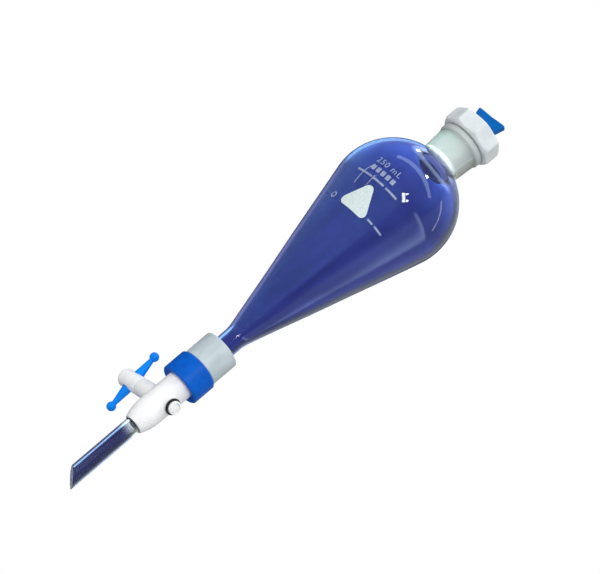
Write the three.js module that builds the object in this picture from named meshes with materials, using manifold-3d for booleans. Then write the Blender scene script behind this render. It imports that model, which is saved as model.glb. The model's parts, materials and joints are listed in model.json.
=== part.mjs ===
// A 250 mL separatory funnel with a removable fluoropolymer stopcock, held to the
// glass by a union nut. Millimetres, +Z up. The origin is the centre of the circle
// where the cone rests in a 60 mm support ring. The stopcock plug lies along X, with
// its handle on the -X side.
import * as THREE from 'three';
import { mergeVertices } from 'three/addons/utils/BufferGeometryUtils.js';
import Module from 'manifold-3d';

// Facets round a turned surface: large pieces, small ones, arms and finger hollows.
const ROUND = 32;
const SMALL_ROUND = 20;
const ARM_ROUND = 16;
const FINE_ROUND = 64;

// How far a cutting shape runs past the face it cuts.
const OVERCUT = 1;
// Side of a block that is wider than the piece it cuts.
const CUTTER_SIZE = 40;

// Glass body. Heights are above the ring seat.
const WALL = 2;
const SEAT_RADIUS = 30;
const BULB_RADIUS = 38.15;
const CONE_ANGLE = 14.67;
const TUBE_RADIUS = 6.9;
const GLASS_END = -124.1;
const BEAD_RADIUS = 8.6;
const BEAD_HEIGHT = 3;
const NECK_BASE_RADIUS = 13.1;
const NECK_TOP_RADIUS = 14.3;
const RIM_RADIUS = 15.2;
const RIM_HEIGHT = 4.4;
const RIM_SHOULDER = 0.9;
const RIM_FILLET = 1.2;
const MOUTH_HEIGHT = 92.8;
const MOUTH_CHAMFER_WIDTH = 0.4;
const MOUTH_CHAMFER_DEPTH = 0.8;
const BEAD_FILLET = 0.8;
const NECK_FILLET = 2.5;
const THROAT_FILLET = 1.5;
const CONE_FOOT_BEND = 25;

// Standard ground joint 22: one in ten on the diameter.
const JOINT_SLOPE = 0.05;
const JOINT_MOUTH_RADIUS = 11;
const JOINT_LENGTH = 20.6;

// Stopper.
const STOPPER_FIT = 0.12;
const STOPPER_BOTTOM = 66.2;
const STOPPER_FILLET = 0.8;
const STOPPER_HOLLOW_RADIUS = 7.8;
const STOPPER_HOLLOW_TOP = 97.5;
const HEAD_UNDERSIDE = 93.4;
const HEAD_TOP = 105;
const HEAD_FLARE = 3;
const HEAD_SEAT_RADIUS = 15.6;
const HEAD_SHOULDER_RADIUS = 17.2;
const HEAD_SHOULDER = 94.6;
const HEAD_CHAMFER = 0.6;
const HEAD_ACROSS_FLATS = 34;
const HEAD_CORNER_ANGLE = 5;
const GRIP_ANGLE = 22;
const GRIP_HEIGHT = 12;
const GRIP_BASE_WIDTH = 14.6;
const GRIP_TOP_WIDTH = 20.7;
const GRIP_THICKNESS = 4.6;
const GRIP_WAIST = 3.4;
const GRIP_THUMB_RADIUS = 36;
const GRIP_FOOT = 0.6;
const GRIP_THUMB_START = 1.2;
const GRIP_CHAMFER = 0.5;
const TENON_DEPTH = 4;
const FIT_GAP = 0.3;

// Coupling between the glass and the valve body.
const SEAT_GAP = 0.2;
const COLLAR_RADIUS = 12;
const COLLAR_TOP = -99.2;
const COLLAR_STEP = -116.8;
const COLLAR_FILLET = 0.8;
const SPIGOT_RADIUS = 11.5;
const SPIGOT_END = -123.9;
const SPIGOT_FILLET = 0.5;
const SPLIT_RING_FLANGE_RADIUS = 9.7;
const SPLIT_RING_FLANGE = 2.6;
const NUT_RADIUS = 13.25;
const NUT_BORE = 11.7;
const NUT_TOP = -117;
const NUT_SHOULDER = -129;
const NUT_SHOULDER_THICKNESS = 3;
const NUT_LIP_CHAMFER = 1.2;
const NUT_FOOT_CHAMFER = 0.6;
const NUT_TOP_CHAMFER = 0.9;
const NUT_THREAD_CHAMFER = 0.1;
const THRUST_RING_THICKNESS = 1.2;
const THRUST_RING_INNER = 9.1;
const THRUST_RING_OUTER = 11.3;

// Valve body, with the plug's axis along X.
const FLANGE_RADIUS = 11;
const FLANGE_THICKNESS = 3;
const FLANGE_FILLET = 0.4;
const VALVE_RADIUS = 8.75;
const INLET_RADIUS = 4.5;
const INLET_FOOT = -136;
const PASSAGE_RADIUS = 1.75;
const PASSAGE_TOP = -139;
const PLUG_HEIGHT = -145;
const NOSE_START = -154;
const NOSE_END = -166.8;
const NOSE_RADIUS = 6.2;
const BARREL_RADIUS = 5.5;
const BARREL_END = -20;
const BARREL_CHAMFER = 0.4;
const BOSS_RADIUS = 5.2;
const BOSS_END = 8.9;
const BOSS_CHAMFER = 0.3;
const BORE_WIDE_RADIUS = 4.3;
const BORE_NARROW_RADIUS = 3.3;
const SOCKET_TOP = -154.8;
const STEM_RING_HEIGHT = -160.8;

// Stopcock plug, its handle and its tension nut.
const PLUG_FIT = 0.15;
const PLUG_TURN = 11;
const PLUG_HEAD_END = -37;
const PLUG_HEAD_FILLET = 1.6;
const PLUG_SHAFT_END = 8.5;
const CROSS_BORE_RADIUS = 1.75;
const TIP_RADIUS = 2.6;
const TIP_END = 13;
const TIP_FILLET = 0.4;
const HANDLE_OFFSET = -28.9;
const ARM_REACH = 18.6;
const ARM_BALL_RADIUS = 2.8;
const ARM_NECK_RADIUS = 1.5;
const ARM_FOOT = 4.8;
const ARM_FOOT_RADIUS = 2.9;
const ARM_FOOT_HEIGHT = 0.9;
const PEG_RADIUS = 1.8;
const PEG_ROOT = 2.4;
const WASHER_START = 9.1;
const WASHER_THICKNESS = 0.6;
const TENSION_RING_RADIUS = 5;
const TENSION_RING_SECTION = 0.8;
const TENSION_NUT_START = 11.5;
const TENSION_NUT_LENGTH = 1.9;
const TENSION_NUT_RADIUS = 4;
const TENSION_NUT_BORE = 2.75;
const TENSION_NUT_FOOT = 0.3;
const TENSION_NUT_CROWN = 0.6;

// Drip stem.
const STEM_RADIUS = 5;
const STEM_BORE = 3.2;
const STEM_TOP = -155.8;
const STEM_POLISH = 0.6;
const TIP_MIDDLE = -213;
const TIP_ALLOWANCE = 8;
const TIP_BEVEL = 43.2;
const TIP_LONG_SIDE_ANGLE = 50;

// Seals.
const SEAL_SECTION = 0.7;
const SEAL_FACETS = 8;
const SEAL_GAP = 0.1;
const COUPLING_SEAL_RADIUS = 6.8;
const STEM_SEAL_RADIUS = 5.82;
const STEM_GROOVE_RADIUS = 6.7;
const STEM_GROOVE_GAP = 0.15;

// Heights that follow from the ones above.
const CONE_SLOPE = Math.tan(radians(CONE_ANGLE));
const TANGENT_RADIUS = BULB_RADIUS * Math.cos(radians(CONE_ANGLE));
const TANGENT_HEIGHT = (TANGENT_RADIUS - SEAT_RADIUS) / CONE_SLOPE;
const BULB_CENTRE = TANGENT_HEIGHT + BULB_RADIUS * Math.sin(radians(CONE_ANGLE));
const BEAD_TOP = GLASS_END + BEAD_HEIGHT;
const SPLIT_RING_BOTTOM = BEAD_TOP + SEAT_GAP;
const SPLIT_RING_SHOULDER = SPLIT_RING_BOTTOM + SPLIT_RING_FLANGE;
const FLANGE_TOP = GLASS_END - FIT_GAP;
const FLANGE_BOTTOM = FLANGE_TOP - FLANGE_THICKNESS;
const THRUST_RING_TOP = FLANGE_BOTTOM - SEAT_GAP;

const wasm = await Module();
wasm.setup();

function radians(degrees) {
  return THREE.MathUtils.degToRad(degrees);
}

// Points [radius, height] along an arc about a centre, between two angles in degrees.
function arc(centreRadius, centreHeight, radius, from, to, steps) {
  return Array.from({ length: steps + 1 }, (_, i) => {
    const angle = radians(from + ((to - from) * i) / steps);
    return [
      centreRadius + radius * Math.cos(angle),
      centreHeight + radius * Math.sin(angle),
    ];
  });
}

// An outline of [radius, height, fillet] corners, with each fillet drawn as an arc.
function rounded(corners, steps = 3) {
  return corners.flatMap(([r, z, fillet = 0], i) => {
    if (fillet === 0) return [[r, z]];
    const corner = new THREE.Vector2(r, z);
    const previous = corners.at(i - 1);
    const next = corners[(i + 1) % corners.length];
    const back = new THREE.Vector2(previous[0], previous[1]).sub(corner).normalize();
    const ahead = new THREE.Vector2(next[0], next[1]).sub(corner).normalize();
    const half = Math.acos(THREE.MathUtils.clamp(back.dot(ahead), -1, 1)) / 2;
    const middle = back.clone().add(ahead).setLength(fillet / Math.sin(half)).add(corner);
    const start = back.clone().multiplyScalar(fillet / Math.tan(half)).add(corner).sub(middle);
    const end = ahead.clone().multiplyScalar(fillet / Math.tan(half)).add(corner).sub(middle);
    const sweep = Math.atan2(start.cross(end), start.dot(end));
    const spin = new THREE.Vector2();
    return Array.from({ length: steps + 1 }, (_, k) => {
      spin.copy(start).rotateAround(new THREE.Vector2(), (sweep * k) / steps).add(middle);
      return [spin.x, spin.y];
    });
  });
}

// A solid of revolution about Z. The outline runs anticlockwise with radius to the
// right and height up, and either closes on itself or starts and ends on the axis.
function turned(outline, facets = ROUND) {
  const closed = outline[0][0] === 0 ? outline : [...outline, outline[0]];
  const profile = closed.map(([r, z]) => new THREE.Vector2(r, z));
  return new THREE.LatheGeometry(profile, facets).rotateX(Math.PI / 2);
}

// A plain rod about Z between two heights, with a radius at each end.
function rod(bottomRadius, topRadius, bottom, top, facets = SMALL_ROUND) {
  const outline = [[0, bottom], [bottomRadius, bottom], [topRadius, top], [0, top]];
  return turned(outline, facets);
}

// A seal of round section about Z.
function sealRing(middleRadius, height, section = SEAL_SECTION) {
  return turned(arc(middleRadius, height, section, 0, 360, SEAL_FACETS).slice(0, -1), SMALL_ROUND);
}

// Lays a shape that was made about Z along X instead, with its top towards +X.
function alongX(geometry) {
  return geometry.rotateY(Math.PI / 2);
}

function block(width, depth, height) {
  return new THREE.BoxGeometry(width, depth, height);
}

// A closed geometry as a solid that can be joined and cut.
function solid(geometry) {
  const bare = new THREE.BufferGeometry();
  bare.setAttribute('position', geometry.getAttribute('position'));
  bare.setIndex(geometry.index);
  const merged = mergeVertices(bare, 1e-3);
  const mesh = new wasm.Mesh({
    numProp: 3,
    vertProperties: merged.attributes.position.array,
    triVerts: new Uint32Array(merged.index.array),
  });
  return new wasm.Manifold(mesh);
}

// The solid back as a geometry.
function geometryOf(manifold) {
  const mesh = manifold.getMesh();
  const geometry = new THREE.BufferGeometry();
  geometry.setAttribute('position', new THREE.BufferAttribute(mesh.vertProperties, 3));
  geometry.setIndex(new THREE.BufferAttribute(mesh.triVerts, 1));
  geometry.computeVertexNormals();
  return geometry;
}

function piece(name, geometry, material) {
  const mesh = new THREE.Mesh(geometry, material);
  mesh.name = name;
  return mesh;
}

const MATERIALS = {
  glass: { color: 0x2d3c9a, roughness: 0.05, metalness: 0, transparent: true, opacity: 0.45 },
  natural: { color: 0xd8dedd, roughness: 0.5, metalness: 0 },
  fluoropolymer: { color: 0xf4f5f4, roughness: 0.45, metalness: 0 },
  blue: { color: 0x0a5fd0, roughness: 0.35, metalness: 0 },
  rubber: { color: 0x141414, roughness: 0.7, metalness: 0 },
};

function material(kind) {
  return new THREE.MeshStandardMaterial(MATERIALS[kind]);
}

// Blown bulb, cone and outlet tube, with a ground joint above and a bead below.
function glassBody() {
  const boreRadius = TUBE_RADIUS - WALL;
  const innerRadius = BULB_RADIUS - WALL;
  const neckAngle = THREE.MathUtils.radToDeg(Math.acos(NECK_BASE_RADIUS / BULB_RADIUS));
  const jointBottom = MOUTH_HEIGHT - JOINT_LENGTH;
  const jointBottomRadius = JOINT_MOUTH_RADIUS - JOINT_SLOPE * JOINT_LENGTH;
  const throatAngle = THREE.MathUtils.radToDeg(Math.acos(jointBottomRadius / innerRadius));
  const coneFoot = TANGENT_HEIGHT - (TANGENT_RADIUS - TUBE_RADIUS) / CONE_SLOPE;
  const innerTangent = innerRadius * Math.cos(radians(CONE_ANGLE));
  const innerTangentHeight = BULB_CENTRE - innerRadius * Math.sin(radians(CONE_ANGLE));
  const innerConeFoot = innerTangentHeight - (innerTangent - boreRadius) / CONE_SLOPE;
  const outerBulb = arc(0, BULB_CENTRE, BULB_RADIUS, -CONE_ANGLE, neckAngle, 9);
  const innerBulb = arc(0, BULB_CENTRE, innerRadius, throatAngle, -CONE_ANGLE, 9);
  return turned(rounded([
    [boreRadius, GLASS_END],
    [BEAD_RADIUS, GLASS_END, BEAD_FILLET],
    [BEAD_RADIUS, BEAD_TOP, BEAD_FILLET],
    [TUBE_RADIUS, BEAD_TOP],
    [TUBE_RADIUS, coneFoot, CONE_FOOT_BEND],
    ...outerBulb.slice(0, -1),
    [...outerBulb.at(-1), NECK_FILLET],
    [NECK_TOP_RADIUS, MOUTH_HEIGHT - RIM_HEIGHT],
    [RIM_RADIUS, MOUTH_HEIGHT - RIM_HEIGHT + RIM_SHOULDER],
    [RIM_RADIUS, MOUTH_HEIGHT, RIM_FILLET],
    [JOINT_MOUTH_RADIUS + MOUTH_CHAMFER_WIDTH, MOUTH_HEIGHT],
    [JOINT_MOUTH_RADIUS, MOUTH_HEIGHT - MOUTH_CHAMFER_DEPTH],
    [jointBottomRadius, jointBottom, THROAT_FILLET],
    ...innerBulb,
    [boreRadius, innerConeFoot, CONE_FOOT_BEND],
  ]));
}

function jointRadius(height) {
  return JOINT_MOUTH_RADIUS - JOINT_SLOPE * (MOUTH_HEIGHT - height);
}

// Hollow tapered plug under an eight-sided head, with a slot in the top for the grip.
function stopperPlug() {
  const plugBottom = jointRadius(STOPPER_BOTTOM) - STOPPER_FIT;
  const plugTop = jointRadius(MOUTH_HEIGHT) - STOPPER_FIT;
  const cornerRadius = HEAD_ACROSS_FLATS / 2 / Math.cos(Math.PI / 8);
  const taper = turned(rounded([
    [0, STOPPER_BOTTOM],
    [plugBottom, STOPPER_BOTTOM, STOPPER_FILLET],
    [plugTop, MOUTH_HEIGHT],
    [plugTop, HEAD_UNDERSIDE + HEAD_FLARE],
    [0, HEAD_UNDERSIDE + HEAD_FLARE],
  ]));
  const prism = new THREE.CylinderGeometry(cornerRadius, cornerRadius, HEAD_TOP - HEAD_UNDERSIDE, 8);
  prism.rotateX(Math.PI / 2);
  prism.rotateZ(radians(HEAD_CORNER_ANGLE + 90));
  prism.translate(0, 0, (HEAD_TOP + HEAD_UNDERSIDE) / 2);
  const envelope = turned([
    [0, HEAD_UNDERSIDE],
    [HEAD_SEAT_RADIUS, HEAD_UNDERSIDE],
    [HEAD_SHOULDER_RADIUS, HEAD_SHOULDER],
    [cornerRadius, HEAD_UNDERSIDE + HEAD_FLARE],
    [cornerRadius, HEAD_TOP - HEAD_CHAMFER],
    [cornerRadius - HEAD_CHAMFER, HEAD_TOP],
    [0, HEAD_TOP],
  ]);
  const slot = block(GRIP_BASE_WIDTH + 2 * FIT_GAP, GRIP_THICKNESS + 2 * FIT_GAP, 2 * TENON_DEPTH);
  slot.rotateZ(radians(GRIP_ANGLE));
  slot.translate(0, 0, HEAD_TOP);
  const hollow = rod(
    STOPPER_HOLLOW_RADIUS, STOPPER_HOLLOW_RADIUS, STOPPER_BOTTOM - OVERCUT, STOPPER_HOLLOW_TOP,
    ROUND,
  );
  const head = solid(prism).intersect(solid(envelope)).subtract(solid(slot));
  return geometryOf(solid(taper).add(head).subtract(solid(hollow)));
}

// Dovetail tab with hollowed faces, and a tenon that sits in the head's slot.
function stopperGrip() {
  const outline = new THREE.Shape();
  outline.moveTo(-GRIP_BASE_WIDTH / 2, -TENON_DEPTH + FIT_GAP);
  outline.lineTo(GRIP_BASE_WIDTH / 2, -TENON_DEPTH + FIT_GAP);
  outline.lineTo(GRIP_BASE_WIDTH / 2, GRIP_FOOT);
  outline.lineTo(GRIP_TOP_WIDTH / 2, GRIP_HEIGHT - GRIP_CHAMFER);
  outline.lineTo(GRIP_TOP_WIDTH / 2 - GRIP_CHAMFER, GRIP_HEIGHT);
  outline.lineTo(-GRIP_TOP_WIDTH / 2 + GRIP_CHAMFER, GRIP_HEIGHT);
  outline.lineTo(-GRIP_TOP_WIDTH / 2, GRIP_HEIGHT - GRIP_CHAMFER);
  outline.lineTo(-GRIP_BASE_WIDTH / 2, GRIP_FOOT);
  const tab = new THREE.ExtrudeGeometry(outline, { depth: GRIP_THICKNESS, bevelEnabled: false });
  tab.translate(0, 0, -GRIP_THICKNESS / 2);
  tab.rotateX(Math.PI / 2);
  const thumbCentre = GRIP_THUMB_RADIUS + GRIP_WAIST / 2;
  let grip = solid(tab);
  for (const side of [-1, 1]) {
    const thumb = rod(
      GRIP_THUMB_RADIUS, GRIP_THUMB_RADIUS, GRIP_THUMB_START, GRIP_HEIGHT + OVERCUT, FINE_ROUND,
    );
    thumb.translate(0, side * thumbCentre, 0);
    grip = grip.subtract(solid(thumb));
  }
  return geometryOf(grip);
}

// Collar that traps the split ring's flange. Its spigot carries the nut's thread.
function couplingCollar() {
  const sleeveBore = BEAD_RADIUS + SEAT_GAP;
  const flangeBore = SPLIT_RING_FLANGE_RADIUS + SEAT_GAP;
  const shoulder = SPLIT_RING_SHOULDER + SEAT_GAP;
  return turned(rounded([
    [flangeBore, SPIGOT_END],
    [SPIGOT_RADIUS, SPIGOT_END, SPIGOT_FILLET],
    [SPIGOT_RADIUS, COLLAR_STEP],
    [COLLAR_RADIUS, COLLAR_STEP],
    [COLLAR_RADIUS, COLLAR_TOP, COLLAR_FILLET],
    [sleeveBore, COLLAR_TOP],
    [sleeveBore, shoulder],
    [flangeBore, shoulder],
  ], 2));
}

// One half of the ring that sits above the bead: side is -1 for left, 1 for right.
function splitRingHalf(side) {
  const bore = TUBE_RADIUS + SEAT_GAP;
  const ring = turned(rounded([
    [bore, SPLIT_RING_BOTTOM],
    [SPLIT_RING_FLANGE_RADIUS, SPLIT_RING_BOTTOM],
    [SPLIT_RING_FLANGE_RADIUS, SPLIT_RING_SHOULDER],
    [BEAD_RADIUS, SPLIT_RING_SHOULDER],
    [BEAD_RADIUS, COLLAR_TOP - SEAT_GAP],
    [bore, COLLAR_TOP - SEAT_GAP],
  ]));
  const half = block(CUTTER_SIZE, CUTTER_SIZE, CUTTER_SIZE);
  half.translate(side * (CUTTER_SIZE + FIT_GAP) / 2, 0, (SPLIT_RING_BOTTOM + COLLAR_TOP) / 2);
  return geometryOf(solid(ring).intersect(solid(half)));
}

// Slip washer that the nut's shoulder presses on.
function thrustRing() {
  const bottom = THRUST_RING_TOP - THRUST_RING_THICKNESS;
  return turned([
    [THRUST_RING_INNER, bottom],
    [THRUST_RING_OUTER, bottom],
    [THRUST_RING_OUTER, THRUST_RING_TOP],
    [THRUST_RING_INNER, THRUST_RING_TOP],
  ]);
}

// Nut that pulls the collar and the valve body's flange together.
function unionNut() {
  const bottom = NUT_SHOULDER - NUT_SHOULDER_THICKNESS;
  const neckBore = VALVE_RADIUS + SEAT_GAP;
  return turned([
    [neckBore, bottom + NUT_LIP_CHAMFER],
    [neckBore + NUT_LIP_CHAMFER, bottom],
    [NUT_RADIUS - NUT_FOOT_CHAMFER, bottom],
    [NUT_RADIUS, bottom + NUT_FOOT_CHAMFER],
    [NUT_RADIUS, NUT_TOP - NUT_TOP_CHAMFER],
    [NUT_RADIUS - NUT_TOP_CHAMFER, NUT_TOP],
    [NUT_BORE + NUT_THREAD_CHAMFER, NUT_TOP],
    [NUT_BORE, NUT_TOP - NUT_THREAD_CHAMFER],
    [NUT_BORE, NUT_SHOULDER],
    [neckBore, NUT_SHOULDER],
  ]);
}

// Plug bore radius at a place along X.
function plugBore(x) {
  const along = (x - BARREL_END) / (BOSS_END - BARREL_END);
  return THREE.MathUtils.lerp(BORE_WIDE_RADIUS, BORE_NARROW_RADIUS, along);
}

// Body with a flange above, a barrel for the plug, and an ogive nose for the stem.
function valveBody() {
  const drop = VALVE_RADIUS - NOSE_RADIUS;
  const length = NOSE_START - NOSE_END;
  const ogive = (length ** 2 + drop ** 2) / (2 * drop);
  const sweep = THREE.MathUtils.radToDeg(Math.asin(length / ogive));
  const nose = arc(VALVE_RADIUS - ogive, NOSE_START, ogive, -sweep, 0, 5);
  const column = turned(rounded([
    [0, NOSE_END],
    ...nose,
    [VALVE_RADIUS, FLANGE_BOTTOM],
    [FLANGE_RADIUS, FLANGE_BOTTOM],
    [FLANGE_RADIUS, FLANGE_TOP, FLANGE_FILLET],
    [0, FLANGE_TOP],
  ]));
  const barrel = alongX(turned([
    [0, BARREL_END],
    [BARREL_RADIUS - BARREL_CHAMFER, BARREL_END],
    [BARREL_RADIUS, BARREL_END + BARREL_CHAMFER],
    [BARREL_RADIUS, 0],
    [BOSS_RADIUS, 0],
    [BOSS_RADIUS, BOSS_END - BOSS_CHAMFER],
    [BOSS_RADIUS - BOSS_CHAMFER, BOSS_END],
    [0, BOSS_END],
  ], SMALL_ROUND));
  barrel.translate(0, 0, PLUG_HEIGHT);
  const boreStart = BARREL_END - OVERCUT;
  const boreEnd = BOSS_END + OVERCUT;
  const bore = alongX(rod(plugBore(boreStart), plugBore(boreEnd), boreStart, boreEnd));
  bore.translate(0, 0, PLUG_HEIGHT);
  const passage = turned([
    [0, SOCKET_TOP - OVERCUT],
    [PASSAGE_RADIUS, SOCKET_TOP - OVERCUT],
    [PASSAGE_RADIUS, PASSAGE_TOP],
    [INLET_RADIUS, INLET_FOOT],
    [INLET_RADIUS, FLANGE_TOP + OVERCUT],
    [0, FLANGE_TOP + OVERCUT],
  ], SMALL_ROUND);
  const socketRadius = STEM_RADIUS + SEAT_GAP;
  const socket = rod(socketRadius, socketRadius, NOSE_END - OVERCUT, SOCKET_TOP);
  const grooveHalf = SEAL_SECTION + STEM_GROOVE_GAP;
  const stemGroove = rod(
    STEM_GROOVE_RADIUS, STEM_GROOVE_RADIUS,
    STEM_RING_HEIGHT - grooveHalf, STEM_RING_HEIGHT + grooveHalf,
  );
  const grooveInner = COUPLING_SEAL_RADIUS - SEAL_SECTION - FIT_GAP;
  const grooveOuter = COUPLING_SEAL_RADIUS + SEAL_SECTION + FIT_GAP;
  const grooveFloor = GLASS_END - 2 * SEAL_SECTION - 2 * SEAL_GAP;
  const topGroove = turned([
    [grooveInner, grooveFloor],
    [grooveOuter, grooveFloor],
    [grooveOuter, FLANGE_TOP + OVERCUT],
    [grooveInner, FLANGE_TOP + OVERCUT],
  ], SMALL_ROUND);
  const cuts = [bore, passage, socket, stemGroove, topGroove];
  return geometryOf(cuts.reduce(
    (body, cut) => body.subtract(solid(cut)),
    solid(column).add(solid(barrel)),
  ));
}

// Tapered plug with a cross bore, a head for the two arms and a threaded tip.
function stopcockPlug() {
  const headStart = BARREL_END - FIT_GAP;
  const shape = alongX(turned(rounded([
    [0, PLUG_HEAD_END],
    [BARREL_RADIUS, PLUG_HEAD_END, PLUG_HEAD_FILLET],
    [BARREL_RADIUS, headStart],
    [plugBore(headStart) - PLUG_FIT, headStart],
    [plugBore(PLUG_SHAFT_END) - PLUG_FIT, PLUG_SHAFT_END],
    [TIP_RADIUS, PLUG_SHAFT_END],
    [TIP_RADIUS, TIP_END, TIP_FILLET],
    [0, TIP_END],
  ]), SMALL_ROUND));
  const outside = BARREL_RADIUS + OVERCUT;
  const pegSocket = PEG_RADIUS + SEAT_GAP;
  const footRecess = ARM_FOOT_RADIUS + FIT_GAP;
  const crossBore = rod(CROSS_BORE_RADIUS, CROSS_BORE_RADIUS, -outside, outside);
  let plug = solid(shape).subtract(solid(crossBore));
  for (const side of [-1, 1]) {
    const socket = rod(pegSocket, pegSocket, PEG_ROOT - SEAT_GAP, outside);
    const spotFace = rod(footRecess, footRecess, ARM_FOOT - SEAT_GAP, outside);
    for (const cut of [socket, spotFace]) {
      if (side < 0) cut.rotateX(Math.PI);
      cut.translate(HANDLE_OFFSET, 0, 0);
      plug = plug.subtract(solid(cut));
    }
  }
  return geometryOf(plug);
}

// Ball-ended arm pressed into the plug's head. It is made pointing up.
function handleArm() {
  const ballFoot = -Math.sqrt(ARM_BALL_RADIUS ** 2 - ARM_NECK_RADIUS ** 2);
  const ballAngle = THREE.MathUtils.radToDeg(Math.asin(ballFoot / ARM_BALL_RADIUS));
  const ball = arc(0, ARM_REACH, ARM_BALL_RADIUS, ballAngle, 90, 8).slice(0, -1);
  return turned([
    [0, PEG_ROOT],
    [PEG_RADIUS, PEG_ROOT],
    [PEG_RADIUS, ARM_FOOT],
    [ARM_FOOT_RADIUS, ARM_FOOT],
    [ARM_FOOT_RADIUS, ARM_FOOT + ARM_FOOT_HEIGHT],
    ...ball,
    [0, ARM_REACH + ARM_BALL_RADIUS],
  ], ARM_ROUND);
}

function plugWasher() {
  return alongX(turned([
    [TIP_RADIUS + SEAT_GAP, WASHER_START],
    [TENSION_RING_RADIUS, WASHER_START],
    [TENSION_RING_RADIUS, WASHER_START + WASHER_THICKNESS],
    [TIP_RADIUS + SEAT_GAP, WASHER_START + WASHER_THICKNESS],
  ], SMALL_ROUND));
}

function tensionRing() {
  const washerEnd = WASHER_START + WASHER_THICKNESS;
  const middle = (washerEnd + TENSION_NUT_START) / 2;
  return alongX(sealRing(TENSION_RING_RADIUS - TENSION_RING_SECTION, middle, TENSION_RING_SECTION));
}

function tensionNut() {
  const end = TENSION_NUT_START + TENSION_NUT_LENGTH;
  return alongX(turned(rounded([
    [TENSION_NUT_BORE, TENSION_NUT_START],
    [TENSION_NUT_RADIUS, TENSION_NUT_START, TENSION_NUT_FOOT],
    [TENSION_NUT_RADIUS, end, TENSION_NUT_CROWN],
    [TENSION_NUT_BORE, end],
  ], 2), SMALL_ROUND));
}

// Glass tube, fire-polished above and ground to a bevel below.
function dripStem() {
  const tube = turned(rounded([
    [STEM_BORE, TIP_MIDDLE - TIP_ALLOWANCE],
    [STEM_RADIUS, TIP_MIDDLE - TIP_ALLOWANCE],
    [STEM_RADIUS, STEM_TOP, STEM_POLISH],
    [STEM_BORE, STEM_TOP, STEM_POLISH],
  ], 2), SMALL_ROUND);
  const below = block(CUTTER_SIZE, CUTTER_SIZE, CUTTER_SIZE);
  below.translate(0, 0, -CUTTER_SIZE / 2);
  below.rotateY(radians(TIP_BEVEL));
  below.rotateZ(radians(TIP_LONG_SIDE_ANGLE));
  below.translate(0, 0, TIP_MIDDLE);
  return geometryOf(solid(tube).subtract(solid(below)));
}

// The glass with what is clamped to it.
function glassGroup() {
  const group = new THREE.Group();
  group.add(piece('glass_body', glassBody(), material('glass')));
  group.add(piece('coupling_collar', couplingCollar(), material('natural')));
  group.add(piece('split_ring_left', splitRingHalf(-1), material('natural')));
  group.add(piece('split_ring_right', splitRingHalf(1), material('natural')));
  return group;
}

function stopperGroup() {
  const group = new THREE.Group();
  const grip = piece('stopper_grip', stopperGrip(), material('blue'));
  grip.position.z = HEAD_TOP;
  grip.rotation.z = radians(GRIP_ANGLE);
  group.add(piece('stopper_plug', stopperPlug(), material('natural')));
  group.add(grip);
  return group;
}

function nutGroup() {
  const group = new THREE.Group();
  group.add(piece('thrust_ring', thrustRing(), material('fluoropolymer')));
  group.add(piece('union_nut', unionNut(), material('blue')));
  return group;
}

function valveGroup() {
  const group = new THREE.Group();
  const couplingSeal = sealRing(COUPLING_SEAL_RADIUS, GLASS_END - SEAL_SECTION - SEAL_GAP);
  const stemSeal = sealRing(STEM_SEAL_RADIUS, STEM_RING_HEIGHT);
  group.add(piece('valve_body', valveBody(), material('fluoropolymer')));
  group.add(piece('coupling_o_ring', couplingSeal, material('rubber')));
  group.add(piece('stem_o_ring', stemSeal, material('rubber')));
  group.add(piece('drip_stem', dripStem(), material('glass')));
  return group;
}

// The plug with its arms and tension nut, turned to where the handle rests.
function plugGroup() {
  const group = new THREE.Group();
  const upper = piece('handle_arm_upper', handleArm(), material('blue'));
  const lower = piece('handle_arm_lower', handleArm(), material('blue'));
  upper.position.x = HANDLE_OFFSET;
  lower.position.x = HANDLE_OFFSET;
  lower.rotation.x = Math.PI;
  group.add(piece('stopcock_plug', stopcockPlug(), material('fluoropolymer')));
  group.add(upper, lower);
  group.add(piece('plug_washer', plugWasher(), material('fluoropolymer')));
  group.add(piece('tension_o_ring', tensionRing(), material('rubber')));
  group.add(piece('tension_nut', tensionNut(), material('fluoropolymer')));
  group.position.z = PLUG_HEIGHT;
  group.rotation.x = radians(PLUG_TURN);
  return group;
}

const funnel = new THREE.Group();
funnel.add(glassGroup(), stopperGroup(), nutGroup(), valveGroup(), plugGroup());

export default funnel;
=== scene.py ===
import json
import math

import bmesh
import bpy
import numpy as np
from mathutils import Matrix, Vector


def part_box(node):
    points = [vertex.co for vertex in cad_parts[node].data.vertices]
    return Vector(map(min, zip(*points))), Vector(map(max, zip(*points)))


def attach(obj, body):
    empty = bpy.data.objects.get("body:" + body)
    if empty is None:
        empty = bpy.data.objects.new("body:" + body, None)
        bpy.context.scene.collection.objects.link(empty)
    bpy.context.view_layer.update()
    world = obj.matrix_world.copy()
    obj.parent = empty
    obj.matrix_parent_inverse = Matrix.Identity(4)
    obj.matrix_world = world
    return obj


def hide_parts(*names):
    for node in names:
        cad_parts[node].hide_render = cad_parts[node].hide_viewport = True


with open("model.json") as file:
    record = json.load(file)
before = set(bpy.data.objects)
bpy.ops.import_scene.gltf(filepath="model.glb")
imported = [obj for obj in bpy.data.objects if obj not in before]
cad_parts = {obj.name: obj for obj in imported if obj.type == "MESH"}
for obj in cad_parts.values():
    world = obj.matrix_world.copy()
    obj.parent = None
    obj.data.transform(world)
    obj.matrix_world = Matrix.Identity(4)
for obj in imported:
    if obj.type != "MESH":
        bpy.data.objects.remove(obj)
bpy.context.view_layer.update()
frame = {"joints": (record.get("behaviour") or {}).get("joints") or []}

# Lengths of the object are millimetres in the frame's axes, and meshes are written in metres.
MM = 0.001

# How many facets go round a large turned shape, and round a small one.
FINE = 192
MEDIUM = 96


# ---- sizes ----


def low(node, axis):
    """A CAD node's lowest coordinate along an axis."""
    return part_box(node)[0][axis] / MM


def high(node, axis):
    """A CAD node's highest coordinate along an axis."""
    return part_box(node)[1][axis] / MM


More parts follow.
